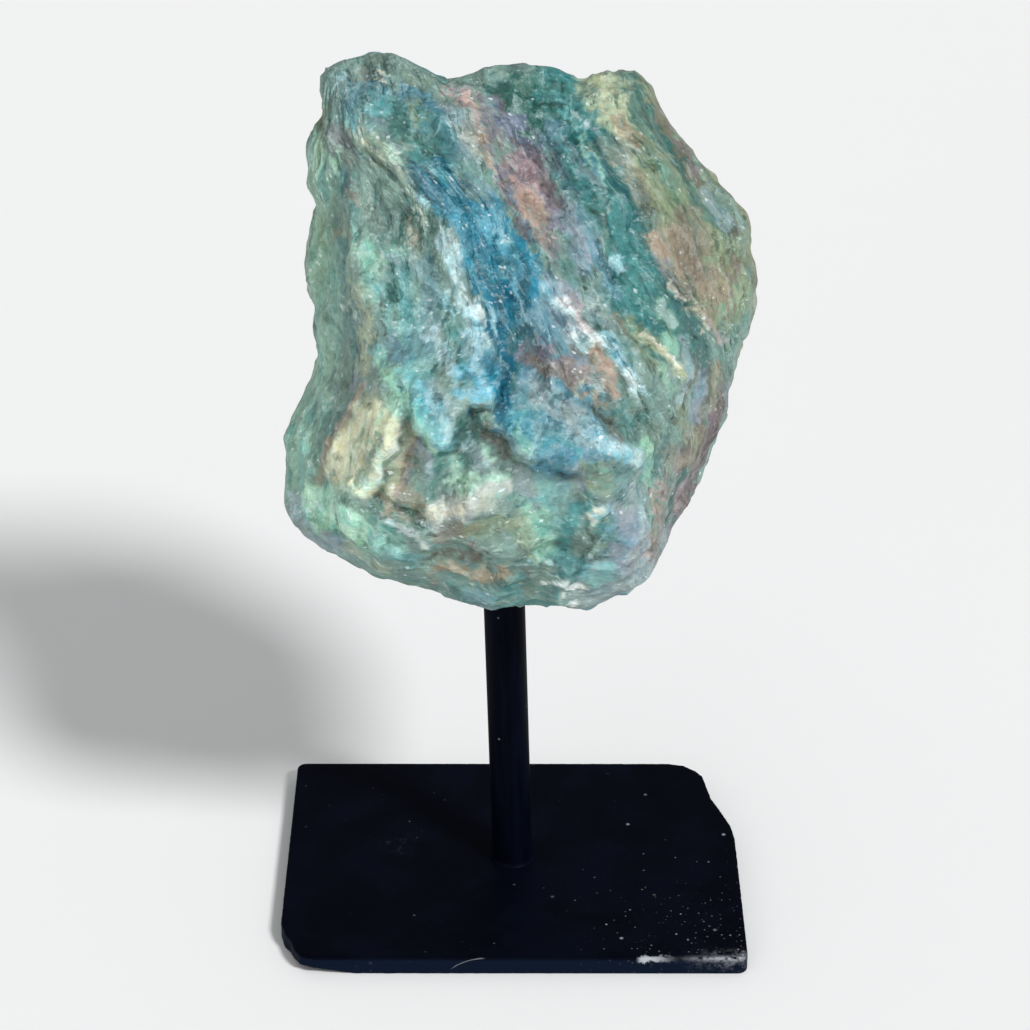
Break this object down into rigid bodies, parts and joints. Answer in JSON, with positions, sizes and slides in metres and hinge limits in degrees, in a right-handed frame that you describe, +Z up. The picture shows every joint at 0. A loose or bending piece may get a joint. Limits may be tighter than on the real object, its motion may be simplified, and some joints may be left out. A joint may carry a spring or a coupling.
{
  "type": "mineral specimen on stand",
  "caption": "Rough piece of banded blue-green stone held up by a leaning round metal pin on a thin rectangular metal plate.",
  "frame": {"origin": "centre of the plate's underside", "axes": "+Z up through the stand, -Y towards the stone's stepped front, +X to the right seen from the front"},
  "size_m": [0.072, 0.059, 0.133],
  "materials": {
    "base_paint": "satin",
    "pin_paint": "satin",
    "stone": "rough broken mineral with a waxy glint"
  },
  "bodies": {
    "root": {"base_plate": "base_paint", "pin": "pin_paint", "stone": "stone"}
  },
  "joints": []
}
